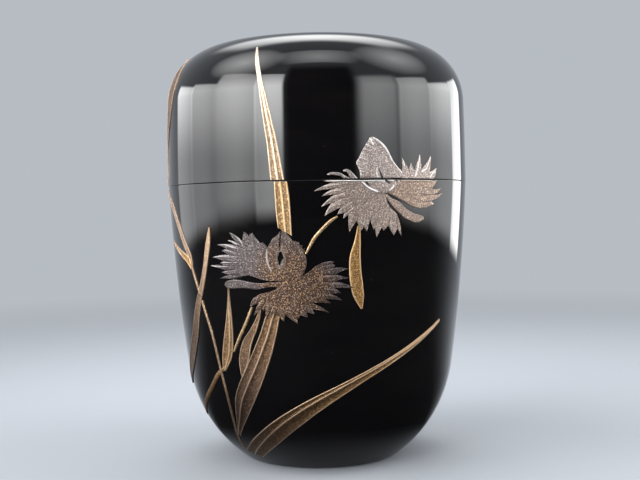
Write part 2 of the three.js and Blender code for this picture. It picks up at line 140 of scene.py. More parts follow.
table_mesh = bpy.data.meshes.new("table")
table_corners = [(x * table_reach, y * table_reach, 0) for x, y in ((-1, -1), (1, -1), (1, 1), (-1, 1))]
table_mesh.from_pydata(table_corners, [], [(0, 1, 2, 3)])
table = link("table", table_mesh, pale_card())


# The studio lights
# Soft boxes with grids stand round the caddy. The lacquer is a mirror, so they are placed by what it
# shows: a dark middle of black cloth, soft uprights on each side of it, and soft boxes overhead.
upright_distance = 0.37
upright_grid = 84
low_until = 0.075
full_from = 0.15
lamp_aim = 0.06
scattered_light = 0.10
scattered_colour = (0.90, 0.95, 1.0, 1)

world = bpy.data.worlds.new("studio")
bpy.context.scene.world = world
world.use_nodes = True
room = world.node_tree
scattered = room.nodes["Background"]
feed(room, scattered, {"Color": scattered_colour, "Strength": scattered_light})
backdrop = add(room, "Background", {"Color": backdrop_colour})
either = add(room, "MixShader", {0: seen_directly(room), 1: scattered.outputs[0], 2: backdrop.outputs[0]})
feed(room, room.nodes["World Output"], {"Surface": either.outputs[0]})


def soft_box(name, place, aim, width, height, radiance, grid, fade, low_level=1.0):
    """A soft box with a grid. Its light falls off toward its edges, and to low_level at its foot."""
    half_grid = math.radians(grid) / 2
    grid_gain = math.tan(half_grid) / (math.tan(half_grid) - half_grid)
    box = bpy.data.lights.new(name, "AREA")
    box.shape = "RECTANGLE"
    box.size = width
    box.size_y = height
    box.spread = math.radians(grid)
    box.energy = radiance * math.pi * width * height / grid_gain
    box.use_nodes = True
    tree = box.node_tree
    over = add(tree, "NewGeometry").outputs["Parametric"]
    across = add(tree, "SeparateXYZ", {0: over}).outputs
    level = spread(tree, across["Y"], low_until / height, full_from / height, low_level, curve="SMOOTHSTEP")
    for axis, span in (("X", width), ("Y", height)):
        from_edge = maths(tree, "PINGPONG", across[axis], 0.5)
        full = min(0.5, fade * min(width, height) / span)
        level = maths(tree, "MULTIPLY", level, spread(tree, from_edge, 0, full, curve="SMOOTHSTEP"))
    feed(tree, tree.nodes["Emission"], {"Strength": level})
    lamp = bpy.data.objects.new(name, box)
    lamp.location = place
    lamp.rotation_euler = (Vector(place) - Vector(aim)).to_track_quat("Z", "Y").to_euler()
    lamp.visible_camera = False
    bpy.context.collection.objects.link(lamp)


def round_from_front(turn, reach, level):
    return (reach * math.sin(math.radians(turn)), -reach * math.cos(math.radians(turn)), level)


def upright(name, start, end, top, radiance, low_level=1.0, fade=0.12):
    """A soft box standing on the table, between two angles round from the front."""
    width = 2 * upright_distance * math.tan(math.radians(abs(end - start)) / 2)
    place = round_from_front((start + end) / 2, upright_distance, top / 2)
    soft_box(name, place, (0, 0, top / 2), width, top, radiance, upright_grid, fade, low_level)


def overhead(name, turn, rise, distance, width, height, radiance, grid, fade=0.12):
    """A soft box on a boom, turned to the caddy from an angle round from the front and an angle up."""
    rise = math.radians(rise)
    place = round_from_front(turn, distance * math.cos(rise), lamp_aim + distance * math.sin(rise))
    soft_box(name, place, (0, 0, lamp_aim), width, height, radiance, grid, fade)


upright("left_inner_box", -22, -46, 0.30, 16, low_level=0.30)
upright("left_middle_box", -42, -80, 0.32, 13, low_level=0.28)
upright("left_outer_box", -76, -106, 0.21, 8, low_level=0.28)
upright("left_edge_box", -102, -128, 0.19, 8, low_level=0.22)
upright("right_inner_box", 26, 66, 0.28, 5, low_level=0.35, fade=0.25)
upright("right_middle_box", 60, 94, 0.24, 7, low_level=0.35)
upright("right_outer_box", 90, 122, 0.19, 8, low_level=0.25)
upright("right_edge_box", 119, 139, 0.19, 6)
overhead("left_shoulder_box", -76, 50, 0.60, 0.80, 0.56, 5.4, 50)
overhead("right_shoulder_box", 88, 50, 0.60, 0.72, 0.56, 3.6, 50)
overhead("front_shoulder_box", 4, 66, 0.60, 0.70, 0.32, 3.4, 50)
overhead("top_box", 180, 60, 0.72, 0.92, 0.50, 6.6, 70, fade=0.35)


def faded(value, low, full):
    """0 at low, rising softly to 1 at full. low may be the greater of the two."""
    share = min(1, max(0, (value - low) / (full - low)))
    return share * share * (3 - 2 * share)


def black_cloth(name, turns, line, cover):
    """Black cloth that only the lacquer's mirror sees. It carries a line of (reach, level) round the caddy
    through the turns, and cover(turn, reach, level) says how much of it shows."""
    material, tree, surface = shader(name)
    shown = add(tree, "Attribute", attribute_name="cover").outputs["Fac"]
    feed(tree, surface, {
        "Base Color": (0.004, 0.004, 0.005, 1), "Roughness": 0.9, "Specular IOR Level": 0.1, "Alpha": shown,
    })
    rows = len(line)
    starts = [column * rows + row for column in range(len(turns) - 1) for row in range(rows - 1)]
    spots = [(turn, reach, level) for turn in turns for reach, level in line]
    places = [round_from_front(*spot) for spot in spots]
    mesh = bpy.data.meshes.new(name)
    mesh.from_pydata(places, [], [(first, first + 1, first + 1 + rows, first + rows) for first in starts])
    mesh.attributes.new("cover", "FLOAT", "POINT").data.foreach_set("value", [cover(*spot) for spot in spots])
    cloth = link(name, mesh, material)
    cloth.visible_camera = False
    cloth.visible_diffuse = False
    cloth.visible_shadow = False


def hanging_cover(turn, reach, level):
    return faded(turn, -25, -19) * faded(turn, 34, 24) * faded(level, 0.56, 0.36)


def lying_cover(turn, reach, level):
    return faded(abs(turn), 148, 90) * faded(reach, 0.014, 0.026) * faded(reach, 0.54, 0.44)


hanging_distance = 0.40
hanging_start = 0.0005
hanging_height = 0.75
hanging_rows = 24
hanging_line = [
    (hanging_distance, hanging_start + hanging_height * row / hanging_rows) for row in range(hanging_rows + 1)
]
black_cloth("hanging_cloth", range(-30, 40, 2), hanging_line, hanging_cover)

lying_start = 0.0163
lying_end = 0.55
lying_level = 0.0006
lying_rows = 37
lying_line = [
    (lying_start * (lying_end / lying_start) ** (row / lying_rows), lying_level) for row in range(lying_rows + 1)
]
black_cloth("lying_cloth", range(-150, 156, 6), lying_line, lying_cover)


# The body of the caddy
# One piece of wood turned hollow, with a round belly, a small foot and a standing lip, under many
# coats of black lacquer that are rubbed down and polished to a mirror.
joint_radius = 0.030
body_height = 0.0542
side_arc_radius = 0.377
side_arc_rise = 0.0166
belly_radius = 0.0273
foot_radius = 0.0157
foot_ring_width = 0.0031
foot_recess = 0.0006
foot_rounding = 0.0003
body_wall = 0.0033
floor_height = 0.004
lip_height = 0.009
lip_rounding = 0.0004
seam_rounding = 0.00014
lid_wall = 0.0018
lid_clearance = 0.00015
round_flats = 288
easing_flats = 5
on_axis = 1e-7


def arc(centre, radius, start, end):
    return {"centre": centre, "radius": radius, "start": start, "end": end, "length": radius * abs(end - start)}


def on_arc(piece, angle):
    return (
        piece["centre"][0] + piece["radius"] * math.cos(angle),
        piece["centre"][1] + piece["radius"] * math.sin(angle),
    )


def arc_points(piece, steps):
    turn = piece["end"] - piece["start"]
    return [on_arc(piece, piece["start"] + turn * step / steps) for step in range(steps + 1)]


def eased(centre_x, centre_y, radius, start, end):
    return arc_points(arc((centre_x, centre_y), radius, start, end), easing_flats)


def angle_to(centre, point):
    return math.atan2(point[1] - centre[1], point[0] - centre[0])


def outer_meeting(centre_a, reach_a, centre_b, reach_b):
    """The outermost point at one distance from one centre and at another from a second."""
    across, up = centre_b[0] - centre_a[0], centre_b[1] - centre_a[1]
    span = math.hypot(across, up)
    along = (reach_a**2 - reach_b**2 + span**2) / (2 * span)
    aside = math.sqrt(reach_a**2 - along**2)
    spots = []
    for side in (1, -1):
        spots.append((
            centre_a[0] + (along * across - side * aside * up) / span,
            centre_a[1] + (along * up + side * aside * across) / span,
        ))
    return max(spots, key=sum)


def finished(name, shape, sharp, material):
    """The piece of a closed form. It is shaded smooth but for edges that turn by more than sharp degrees."""
    bmesh.ops.recalc_face_normals(shape, faces=shape.faces)
    mesh = bpy.data.meshes.new(name)
    shape.to_mesh(mesh)
    shape.free()
    mesh.shade_smooth()
    mesh.set_sharp_from_angle(angle=math.radians(sharp))
    return link(name, mesh, material)


def turned(name, profile, material):
    """A closed form turned from its outline, a list of (radius, height) from axis to axis."""
    shape = bmesh.new()
    rings = []
    for radius, height in profile:
        if radius < on_axis:
            rings.append([shape.verts.new((0, 0, height))])
            continue
        turns = [math.tau * flat / round_flats for flat in range(round_flats)]
        rings.append([shape.verts.new((radius * math.sin(turn), -radius * math.cos(turn), height)) for turn in turns])
    for ring, following in zip(rings, rings[1:]):
        for flat in range(round_flats):
            after = (flat + 1) % round_flats
            corners = [ring[flat % len(ring)], ring[after % len(ring)]]
            corners += [following[after % len(following)], following[flat % len(following)]]
            shape.faces.new(list(dict.fromkeys(corners)))
    return finished(name, shape, 50, material)


side_centre = (
    joint_radius - math.sqrt(side_arc_radius**2 - side_arc_rise**2),
    body_height + side_arc_rise,
)
belly_centre = outer_meeting(side_centre, side_arc_radius - belly_radius, (foot_radius, 0), belly_radius)
belly_turn = angle_to(side_centre, belly_centre)
side_top = angle_to(side_centre, (joint_radius, body_height))
body_side = arc(side_centre, side_arc_radius, side_top, belly_turn)
body_belly = arc(belly_centre, belly_radius, belly_turn, angle_to(belly_centre, (foot_radius, 0)))
body_outside = [body_side, body_belly]
bore_radius = joint_radius - lid_wall
lip_radius = bore_radius - lid_clearance
lip_top = body_height + lip_height
quarter = math.pi / 2


def body_profile():
    inside_radius = side_arc_radius - body_wall
    well_turn = math.asin((body_height - side_centre[1]) / inside_radius)
    side_inside = arc(side_centre, inside_radius, well_turn, belly_turn)
    well_radius = on_arc(side_inside, well_turn)[0]
    belly_inside_radius = belly_radius - body_wall
    floor_turn = math.asin((floor_height - belly_centre[1]) / belly_inside_radius)
    belly_inside = arc(belly_centre, belly_inside_radius, belly_turn, floor_turn)
    belly_foot = body_belly["end"] + foot_rounding / belly_radius
    belly_up = arc(belly_centre, belly_radius, belly_foot, belly_turn)
    side_up = arc(side_centre, side_arc_radius, belly_turn, side_top - seam_rounding / side_arc_radius)
    level = lip_top - lip_rounding
    ring_inner = foot_radius - foot_ring_width
    return (
        [(0, foot_recess), (ring_inner - foot_recess, foot_recess), (ring_inner, 0), (foot_radius - foot_rounding, 0)]
        + arc_points(belly_up, 64)
        + arc_points(side_up, 24)[1:]
        + eased(joint_radius - seam_rounding, body_height - seam_rounding, seam_rounding, 0, quarter)[1:]
        + [(lip_radius + lid_clearance, body_height), (lip_radius, body_height + lid_clearance)]
        + eased(lip_radius - lip_rounding, level, lip_rounding, 0, quarter)
        + eased(well_radius + lip_rounding, level, lip_rounding, quarter, math.pi)
        + arc_points(side_inside, 16)
        + arc_points(belly_inside, 40)[1:]
        + [(0, floor_height)]
    )


def node_group(name, takes, gives):
    """An empty shader node group. takes and gives list the names of its sockets under their kinds."""
    group = bpy.data.node_groups.new(name, "ShaderNodeTree")
    for way, sockets in (("INPUT", takes), ("OUTPUT", gives)):
        for kind, labels in sockets.items():
            for label in labels:
                group.interface.new_socket(label, in_out=way, socket_type="NodeSocket" + kind)
    return group, group.nodes.new("NodeGroupInput").outputs, group.nodes.new("NodeGroupOutput")


def polish_group():
    """How a hand-polished lacquer surface differs from place to place: faint wiping, dust and depth."""
    group, entry, leave = node_group(
        "hand_polish", {"Vector": ["Vector"], "Float": ["Wipe Scale"]}, {"Float": ["Wipe", "Dust", "Swell"]}
    )
    spot = entry["Vector"]
    stretch = add(group, "VectorMath", {0: spot, 1: (1, 1, 3.5)}, operation="MULTIPLY").outputs[0]
    wipe = add(group, "TexNoise", {"Vector": stretch, "Scale": entry["Wipe Scale"], "Detail": 6, "Roughness": 0.65})
    specks = add(group, "TexVoronoi", {"Vector": spot, "Scale": 420})
    swell = add(group, "TexNoise", {"Vector": spot, "Scale": 55, "Detail": 1})
    feed(group, leave, {
        "Wipe": spread(group, wipe.outputs["Fac"], 0.42, 0.72),
        "Dust": spread(group, specks.outputs["Distance"], 0.05, 0.03),
        "Swell": swell.outputs["Fac"],
    })
    return group


hand_polish = polish_group()


def mix(tree, share, first, second):
    """A mix of two colours, each a colour or a socket."""
    return add(tree, "Mix", {0: share, 6: first, 7: second}, data_type="RGBA").outputs[2]


def black_lacquer():
    material, tree, surface = shader("black_lacquer")
    spot = add(tree, "TexCoord").outputs["Object"]
    polish = add(tree, "Group", {"Vector": spot, "Wipe Scale": 60}, node_tree=hand_polish).outputs
    depth = mix(tree, polish["Wipe"], (0.0030, 0.0028, 0.0032, 1), (0.0052, 0.0045, 0.0046, 1))
    waves = add(tree, "Bump", {"Strength": 0.06, "Distance": 0.0004, "Height": polish["Swell"]})
    feed(tree, surface, {
        "Base Color": mix(tree, polish["Dust"], depth, (0.030, 0.029, 0.030, 1)),
        "Roughness": spread(tree, polish["Wipe"], 0, 1, 0.025, 0.06),
        "Normal": waves.outputs["Normal"],
        "IOR": 1.53,
    })
    return material


lacquer = black_lacquer()
turned_body = turned("turned_body", body_profile(), lacquer)
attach(turned_body, "body")
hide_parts("body_vessel")


# The lid
# The second turned piece, deep and thin, with a soft shoulder and a low crown. It slides down over
# the lip until its rim meets the shoulder of the body.
lid_height = 0.029
lid_side_radius = 0.579
corner_radius = 0.0114
crown_radius = 0.120
crown_thickness = 0.0026
bore_chamfer = 0.0003

lid_top = body_height + lid_height
lid_side_centre = (joint_radius - lid_side_radius, body_height)
crown_centre = (0, lid_top - crown_radius)
corner_centre = outer_meeting(
    lid_side_centre, lid_side_radius - corner_radius, crown_centre, crown_radius - corner_radius
)
corner_start = angle_to(lid_side_centre, corner_centre)
crown_start = angle_to(crown_centre, corner_centre)
lid_side = arc(lid_side_centre, lid_side_radius, 0, corner_start)
lid_corner = arc(corner_centre, corner_radius, corner_start, crown_start)
lid_crown = arc(crown_centre, crown_radius, crown_start, quarter)
lid_outside = [lid_side, lid_corner, lid_crown]


def lid_profile():
    ceiling_radius = crown_radius - crown_thickness
    hollow_radius = corner_radius - lid_wall
    hollow_reach = ceiling_radius - hollow_radius
    hollow_x = bore_radius - hollow_radius
    hollow_turn = math.acos(hollow_x / hollow_reach)
    hollow_centre = (hollow_x, crown_centre[1] + hollow_reach * math.sin(hollow_turn))
    ceiling = arc(crown_centre, ceiling_radius, quarter, hollow_turn)
    hollow_corner = arc(hollow_centre, hollow_radius, hollow_turn, 0)
    side_up = arc(lid_side_centre, lid_side_radius, seam_rounding / lid_side_radius, corner_start)
    rim = eased(joint_radius - seam_rounding, body_height + seam_rounding, seam_rounding, -quarter, 0)
    return (
        [(0, lid_top - crown_thickness)]
        + arc_points(ceiling, 16)[1:]
        + arc_points(hollow_corner, 20)[1:]
        + [(bore_radius, body_height + bore_chamfer), (bore_radius + bore_chamfer, body_height)]
        + rim[:-1]
        + arc_points(side_up, 16)
        + arc_points(lid_corner, 40)[1:]
        + arc_points(lid_crown, 24)[1:-1]
        + [(0, lid_top)]
    )


turned_lid = turned("turned_lid", lid_profile(), lacquer)
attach(turned_lid, "lid")
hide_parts("lid_shell")


# The blades and leaves
# Bronze powder sprinkled on wet lacquer inside a thin drawn outline. The outline and the midrib are
# raised a little more and sprinkled with finer, paler gold.
sunk = -0.00005
edge_height = 0.00007
outline_height = 0.00017
fill_height = 0.00011
midrib_height = 0.00020
outline_width = 0.00026
midrib_width = 0.00042
least_fill = 0.0002
along_flat = 0.0005
quarter_turn = joint_radius * quarter
no_height = 1e-7


def in_shares(points):
    """Points are written in thousandths: of a quarter turn round from the front, and of the way from the joint."""
    return np.array(points, float) / 1000


def place(outside, shares, heights):
    """Places from shares: round from the front, as a share of a quarter turn, and away from the joint."""
    travel = shares[..., 1] * sum(piece["length"] for piece in outside)
    radius = np.zeros(travel.shape)
    level = np.zeros(travel.shape)
    start = 0.0
    for piece in outside:
        heading = 1 if piece["end"] > piece["start"] else -1
        angle = piece["start"] + heading * (travel - start) / piece["radius"]
        reach = piece["radius"] + heights
        reached = travel >= start
        radius = np.where(reached, piece["centre"][0] + reach * np.cos(angle), radius)
        level = np.where(reached, piece["centre"][1] + reach * np.sin(angle), level)
        start += piece["length"]
    turn = shares[..., 0] * quarter
    return np.stack([radius * np.sin(turn), -radius * np.cos(turn), level], axis=-1)


def sheet_size(outside):
    return np.array([quarter_turn, sum(piece["length"] for piece in outside)])


def run_length(outside, shares):
    return float(np.linalg.norm(np.diff(shares * sheet_size(outside), axis=0), axis=1).sum())


def smooth(points, places):
    """Points on a smooth run through the given ones, at places from 0 to 1."""
    points = np.array(points, float)
    last = len(points) - 1
    along = np.clip(places, 0, 1) * last
    index = np.minimum(along.astype(int), last - 1)
    t = (along - index)[:, None]
    before, start = points[np.maximum(index - 1, 0)], points[index]
    end, after = points[index + 1], points[np.minimum(index + 2, last)]
    leave, arrive = (end - before) / 2, (after - start) / 2
    return (
        (2 * start - 2 * end + leave + arrive) * t**3
        + (3 * end - 3 * start - 2 * leave - arrive) * t**2
        + leave * t
        + start
    )


def along_run(levels, places):
    """Levels that are evenly spaced along a piece, read at the given places."""
    return np.interp(places, np.linspace(0, 1, len(levels)), levels)


def raised_piece(name, form, outside, material):
    """One closed raised piece from a grid of shares, with its height and masks. Its back is sunk in the lacquer."""
    shape = bmesh.new()
    layers = {mask: shape.verts.layers.float.new(mask) for mask in ("line", "warm", "bare")}
    columns, rows = form["height"].shape
    grids = []
    for heights in (form["height"], np.full((columns, rows), sunk)):
        spots = place(outside, form["shares"], heights)
        grid = [[shape.verts.new(spots[i, j]) for j in range(rows)] for i in range(columns)]
        for mask, layer in layers.items():
            for corners, values in zip(grid, form[mask]):
                for corner, value in zip(corners, values):
                    corner[layer] = value
        grids.append(grid)
    rims = []
    for grid, heading in zip(grids, (1, -1)):
        for i in range(columns - 1):
            for j in range(rows - 1):
                corners = [grid[i][j], grid[i + 1][j], grid[i + 1][j + 1], grid[i][j + 1]]
                shape.faces.new(corners[::heading])
        rim = grid[0] + [column[-1] for column in grid[1:]]
        rims.append(rim + grid[-1][-2::-1] + [column[0] for column in grid[-2:0:-1]])
    for index in range(len(rims[0])):
        after = (index + 1) % len(rims[0])
        shape.faces.new((rims[0][index], rims[0][after], rims[1][after], rims[1][index]))
    bmesh.ops.remove_doubles(shape, verts=shape.verts, dist=no_height)
    bmesh.ops.dissolve_degenerate(shape, edges=shape.edges, dist=no_height)
    return finished(name, shape, 60, material)


def leaf_form(outside, left, right, midrib=None, tone=(1, 1), lift=(0, 0), covered=(0, 0)):
    """A leaf between two edges. midrib gives its place across, and covered how far the fine gold fills it."""
    left, right = in_shares(left), in_shares(right)
    steps = max(6, math.ceil(max(run_length(outside, left), run_length(outside, right)) / along_flat))
    places = np.linspace(0, 1, steps + 1)
    left_run, right_run = smooth(left, places), smooth(right, places)
    width = np.linalg.norm((right_run - left_run) * sheet_size(outside), axis=1)
    scale = np.minimum(1, width / (2 * outline_width + midrib_width + least_fill))
    width = np.maximum(width, no_height)
    border = outline_width * scale / width
    rib = midrib_width * scale / 2 / width
    middle = along_run(midrib or (0.5, 0.5), places)
    crest, drawn = (midrib_height, 1.0) if midrib else (fill_height, 0.0)

    def half(middle):
        return [
            (0 * border, edge_height, 0.9), (0.2 * border, outline_height * 0.9, 1),
            (0.5 * border, outline_height, 1), (0.85 * border, outline_height * 0.9, 0.7),
            (1.15 * border, fill_height, 0), (middle * 0.5 + 0.5 * (1.15 * border - rib), fill_height, 0),
            (middle - 1.1 * rib, fill_height, 0), (middle - 0.6 * rib, crest * 0.92, drawn),
        ]

    mirrored = [(1 - share, height, line) for share, height, line in reversed(half(1 - middle))]
    section = half(middle) + [(middle, crest, drawn)] + mirrored
    across = np.stack([share for share, height, line in section], axis=1)[..., None]
    height, line = (np.array([part[index] for part in section]) for index in (1, 2))
    ones = np.ones((len(places), len(section)))
    return {
        "shares": left_run[:, None] * (1 - across) + right_run[:, None] * across,
        "height": ones * height + along_run(lift, places)[:, None],
        "line": np.maximum(ones * line, along_run(covered, places)[:, None]),
        "warm": ones * along_run(tone, places)[:, None],
        "bare": 0 * ones,
    }


def powder_group():
    """Metal powder caught in lacquer: fine grains of two shades, coarser bright flakes, and drawn lines."""
    group, entry, leave = node_group(
        "sprinkled_powder",
        {
            "Vector": ["Vector"],
            "Float": ["Grain Scale", "Flake Share", "Warm Flakes", "Line Mask", "Warm Mask"],
            "Color": ["Dark", "Middle", "Bright", "Line", "Warm Middle", "Warm Bright", "Warm Line"],
        },
        {"Color": ["Color"], "Float": ["Grain", "Height"]},
    )

    def grains(scale):
        cells = add(group, "TexVoronoi", {"Vector": entry["Vector"], "Scale": scale}).outputs
        return cells["Distance"], add(group, "SeparateColor", {0: cells["Color"]}).outputs

    warm = entry["Warm Mask"]
    near, chance = grains(entry["Grain Scale"])
    flake = grains(maths(group, "MULTIPLY", entry["Grain Scale"], 0.72))[1]
    middle = mix(group, warm, entry["Middle"], entry["Warm Middle"])
    golden = maths(group, "MULTIPLY", warm, spread(group, flake["Blue"], 0.1, 0.6, 0.25, 1))
    bright = mix(group, golden, entry["Bright"], entry["Warm Bright"])
    fine = mix(group, warm, entry["Line"], entry["Warm Line"])
    dark = mix(group, maths(group, "MULTIPLY", warm, 0.15), entry["Dark"], entry["Warm Middle"])
    even = mix(group, spread(group, chance["Red"], 0, 0.8), dark, middle)
    filled = mix(group, spread(group, flake["Green"], 0.3, 0.8, 0, 0.95), even, dark)
    flakes = maths(group, "MULTIPLY_ADD", warm, entry["Warm Flakes"], entry["Flake Share"])
    scarce = maths(group, "ADD", flake["Red"], flakes)
    flaked = mix(group, spread(group, scarce, 0.95, 1.05), filled, bright)
    ragged = maths(group, "MULTIPLY_ADD", chance["Green"], 0.5, entry["Line Mask"])
    dusted = mix(group, spread(group, chance["Blue"], 0, 0.5, 0.55, 1), flaked, fine)
    feed(group, leave, {
        "Color": mix(group, spread(group, ragged, 0.65, 0.95), flaked, dusted),
        "Grain": chance["Green"],
        "Height": near,
    })
    return group


sprinkled_powder = powder_group()


def powder(name, shades, grain, roughness, flakes, warm_flakes, relief=0.5):
    """A metal powder finish over black lacquer, from its shades and the size of its grains."""
    material, tree, surface = shader(name)
    masks = {mask: add(tree, "Attribute", attribute_name=mask).outputs["Fac"] for mask in ("line", "warm", "bare")}
    sprinkle = add(tree, "Group", {
        "Vector": add(tree, "TexCoord").outputs["Object"], "Grain Scale": 1 / grain, "Flake Share": flakes,
        "Warm Flakes": warm_flakes, "Line Mask": masks["line"], "Warm Mask": masks["warm"],
        **{label: (*colour, 1) for label, colour in shades.items()},
    }, node_tree=sprinkled_powder).outputs
    bare = spread(tree, masks["bare"], 0.35, 0.65)
    uneven = spread(tree, sprinkle["Grain"], 0, 1, roughness + 0.12, roughness - 0.1)
    worked = maths(tree, "MULTIPLY", sprinkle["Height"], spread(tree, bare, 0, 1, 1, 0))
    rough = add(tree, "Bump", {"Strength": relief, "Distance": grain, "Height": worked}, invert=True)
    feed(tree, surface, {
        "Base Color": mix(tree, bare, sprinkle["Color"], (0.004, 0.0035, 0.004, 1)),
        "Roughness": spread(tree, bare, 0, 1, uneven, 0.08),
        "Metallic": spread(tree, bare, 0, 1, 0.85, 0),
        "Normal": rough.outputs["Normal"],
    })
    return material


bronze = powder(
    "bronze_powder",
    {
        "Dark": (0.038, 0.025, 0.021), "Middle": (0.140, 0.090, 0.070), "Bright": (0.33, 0.22, 0.165),
        "Line": (0.42, 0.31, 0.24), "Warm Middle": (0.82, 0.44, 0.13), "Warm Bright": (0.93, 0.62, 0.29),
        "Warm Line": (0.85, 0.58, 0.33),
    },
    grain=0.0001, roughness=0.42, flakes=0.05, warm_flakes=0.10,
)
pale_bronze = powder(
    "pale_bronze_powder",
    {
        "Dark": (0.12, 0.075, 0.045), "Middle": (0.46, 0.33, 0.22), "Bright": (0.82, 0.70, 0.55),
        "Line": (0.88, 0.76, 0.62), "Warm Middle": (0.42, 0.24, 0.095), "Warm Bright": (0.78, 0.53, 0.27),
        "Warm Line": (0.86, 0.61, 0.35),
    },
    grain=0.00011, roughness=0.42, flakes=0.08, warm_flakes=0.04,
)


def decorate(node, form, outside, finish, slot):
    """A piece of the drawing. It lies on the lid or the body, and stands for the CAD solid of its name."""
    kind = "gold" if slot == "gold_line" else "powder"
    piece = raised_piece(f"{node}_{kind}", form, outside, finish)
    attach(piece, "lid" if outside is lid_outside else "body")
    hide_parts(node)


def leaf(node, outside, left, right, finish=bronze, **shape):
    decorate(node, leaf_form(outside, left, right, **shape), outside, finish, "bronze_powder")


# On most blades the tone falls toward the foot, so their bronze is darker and less orange there.
leaf(
    "lid_tall_blade", lid_outside,
    [(-175, 3), (-186, 115), (-197, 183), (-210, 266), (-222, 340), (-241, 410), (-253, 470)],
    [(-123, 3), (-144, 115), (-160, 183), (-182, 266), (-203, 340), (-224, 410), (-247, 470)],
    midrib=(0.54, 0.52, 0.5), tone=(0.4, 0), covered=(0, 0.1, 0.3, 0.5, 0.7), finish=pale_bronze,
)
leaf(
    "lid_edge_leaf", lid_outside,
    [(-930, 3), (-955, 140), (-950, 250), (-930, 340), (-895, 410), (-850, 460), (-815, 500)],
    [(-900, 3), (-860, 140), (-785, 250), (-730, 340), (-720, 400), (-755, 455), (-800, 500)],
    midrib=(0.5, 0.5, 0.45, 0.45, 0.5), tone=(0.05, 0.15, 0.1), covered=(0.5, 0, 0, 0, 0.3),
)
leaf(
    "tall_blade", body_outside,
    [(-162, 3), (-160, 50), (-158, 95), (-153, 141)],
    [(-112, 3), (-105, 50), (-102, 100), (-100, 166)],
    midrib=(0.47, 0.52, 0.56), finish=pale_bronze,
)
leaf(
    "sweeping_blade", body_outside,
    [(-530, 915), (-360, 825), (-200, 742), (-49, 676), (124, 615), (304, 554), (460, 498), (590, 450)],
    [(-420, 943), (-265, 867), (-115, 780), (20, 703), (169, 632), (320, 572), (470, 512), (593, 457)],
    midrib=(0.52, 0.42, 0.36, 0.34, 0.32, 0.34, 0.45, 0.5), tone=(0.1, 0.15, 0.3, 0.5, 0.6, 0.6, 0.3),
    covered=(0, 0, 0, 0, 0, 0.2, 0.3),
)
leaf(
    "short_blade", body_outside,
    [(-495, 830), (-448, 760), (-416, 686), (-374, 629), (-330, 578), (-285, 518), (-249, 466), (-225, 420),
     (-208, 397)],
    [(-482, 838), (-386, 765), (-317, 700), (-267, 639), (-235, 590), (-205, 535), (-182, 480), (-162, 420),
     (-158, 397)],
    midrib=(0.3, 0.36, 0.42, 0.44, 0.46, 0.5, 0.55), tone=(0.0, 0.1, 0.25, 0.4),
    lift=(0, 0, 0, 0, 0, 0, 0, 0, 0, 0, 0, -0.00006, -0.00014),
)
leaf(
    "hanging_leaf", body_outside,
    [(150, 140), (137, 187), (120, 231), (117, 274), (122, 317), (135, 357), (165, 394)],
    [(160, 140), (162, 187), (162, 231), (165, 274), (172, 317), (177, 357), (172, 394)],
)
leaf(
    "slender_bud", body_outside,
    [(-247, 392), (-268, 425), (-297, 458), (-338, 498), (-362, 548), (-364, 590), (-357, 616)],
    [(-238, 392), (-247, 425), (-264, 458), (-292, 502), (-313, 554), (-336, 590), (-354, 617)],
    tone=(0.3, 0.15), covered=(0.35, 0.3),
)
leaf(
    "spindle_leaf", body_outside,
    [(-388, 322), (-396, 370), (-414, 430), (-435, 485), (-457, 545), (-465, 594)],
    [(-382, 322), (-382, 370), (-381, 430), (-386, 500), (-405, 555), (-448, 597)],
    midrib=(0.5, 0.5, 0.6, 0.66, 0.6), tone=(0.3, 0.5),
)
leaf(
    "narrow_leaf", body_outside,
    [(-467, 137), (-495, 194), (-520, 258), (-558, 324), (-598, 374), (-643, 436), (-690, 500), (-773, 573),
     (-829, 623), (-872, 680)],
    [(-460, 137), (-468, 194), (-493, 258), (-525, 323), (-557, 372), (-590, 433), (-625, 497), (-685, 566),
     (-750, 618), (-864, 680)],
    tone=(0.4, 0.2, 0.05), covered=(0.8, 0.65, 0.35, 0.1, 0.1), lift=(0.00003, 0.00003),
)
leaf(
    "far_leaf", body_outside,
    [(-890, 12), (-823, 55), (-762, 97), (-717, 141), (-685, 180), (-657, 207), (-630, 236), (-614, 262)],
    [(-872, 12), (-778, 55), (-727, 97), (-684, 141), (-651, 179), (-625, 206), (-605, 232), (-600, 260)],
    tone=(0.1, 0.2), covered=(0.7, 0.65, 0.6, 0.4),
)
leaf(
    "offshoot_leaf", body_outside,
    [(-616, 275), (-650, 253), (-691, 238), (-740, 221), (-818, 190)],
    [(-607, 262), (-622, 238), (-660, 224), (-708, 212), (-815, 184)],
    tone=(1, 1, 0.6, 0.1), covered=(0.1, 0, 0.2, 0.7, 0.7), lift=(0.00001, 0.00001),
)


# The stems and the side leaf
# Single strokes of lacquer, drawn with a fine brush and sprinkled with gold powder while wet. The side
# leaf is one broader stroke in the bronze powder of the other leaves.
stem_width = 0.00062
side_leaf_width = 0.00105
stem_height = 0.00019
stem_section = np.array([(-1, 0.35), (-0.85, 0.75), (-0.45, 0.97), (0, 1), (0.45, 0.97), (0.85, 0.75), (1, 0.35)])

gold = powder(
    "gold_line",
    {
        "Dark": (0.26, 0.165, 0.10), "Middle": (0.46, 0.32, 0.22), "Bright": (0.72, 0.55, 0.42),
        "Line": (0.50, 0.36, 0.26), "Warm Middle": (0.72, 0.50, 0.25), "Warm Bright": (0.95, 0.74, 0.46),
        "Warm Line": (0.80, 0.58, 0.32),
    },
    grain=0.00010, roughness=0.36, flakes=0.08, warm_flakes=0.08, relief=0.35,
)


